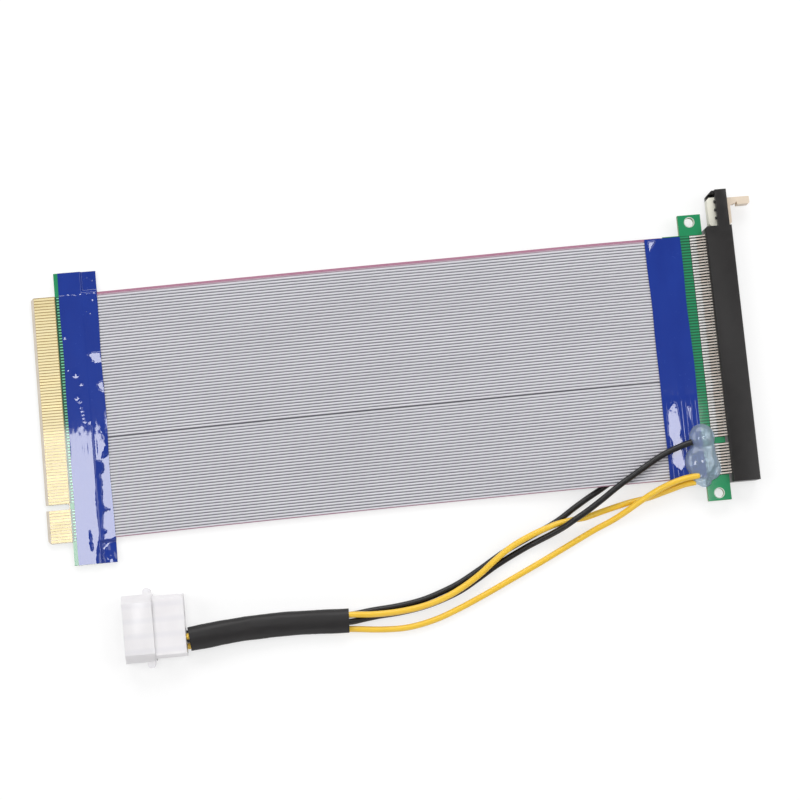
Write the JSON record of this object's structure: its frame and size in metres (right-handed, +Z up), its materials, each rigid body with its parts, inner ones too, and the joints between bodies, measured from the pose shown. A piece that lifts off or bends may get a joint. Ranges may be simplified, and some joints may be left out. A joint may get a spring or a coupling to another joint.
{
  "type": "graphics card riser cable",
  "caption": "Flat ribbon riser that carries a card-edge slot away from a motherboard, with a bevelled edge board, a latched card socket and a glued-on power lead with plug.",
  "frame": {"origin": "on the bench, under the middle of the riser's box without its power lead", "axes": "+X along the ribbon from the card edge to the socket, +Y along the boards towards the latch, +Z up"},
  "size_m": [0.251, 0.1462, 0.0104],
  "materials": {
    "board": "green solder mask over laminate, satin",
    "ribbon": "satin, finely ridged",
    "tape": "glossy film, creased",
    "socket": "moulded, satin",
    "latch": "moulded, satin",
    "glue": "cloudy hot glue, glossy",
    "wire_yellow": "satin insulation",
    "wire_black": "satin insulation",
    "sleeve": "matt heat-shrink tube",
    "plug": "milky nylon, satin",
    "pin": "tinned, bright"
  },
  "bodies": {
    "riser": {"edge_board": "board", "slot_board": "board", "ribbon_narrow_upper": "ribbon", "ribbon_wide_upper": "ribbon", "ribbon_narrow_lower": "ribbon", "ribbon_wide_lower": "ribbon", "edge_tape_upper": "tape", "edge_tape_lower": "tape", "slot_tape_upper": "tape", "slot_tape_lower": "tape", "slot_housing": "socket", "glue_upper": "glue", "glue_lower": "glue", "wire_yellow_outer": "wire_yellow", "wire_yellow_inner": "wire_yellow", "wire_black_upper": "wire_black", "wire_black_lower": "wire_black", "sleeve": "sleeve", "plug_housing": "plug", "plug_pin_supply": "pin", "plug_pin_ground_1": "pin", "plug_pin_ground_2": "pin"},
    "latch": {"latch_lever": "latch"}
  },
  "joints": [
    {"name": "latch_pivot", "type": "hinge", "parent": "riser", "child": "latch", "pos_m": [0.1147, 0.04525, 0.00375], "axis": [0, 0, 1], "range_deg": [0, 20]}
  ]
}
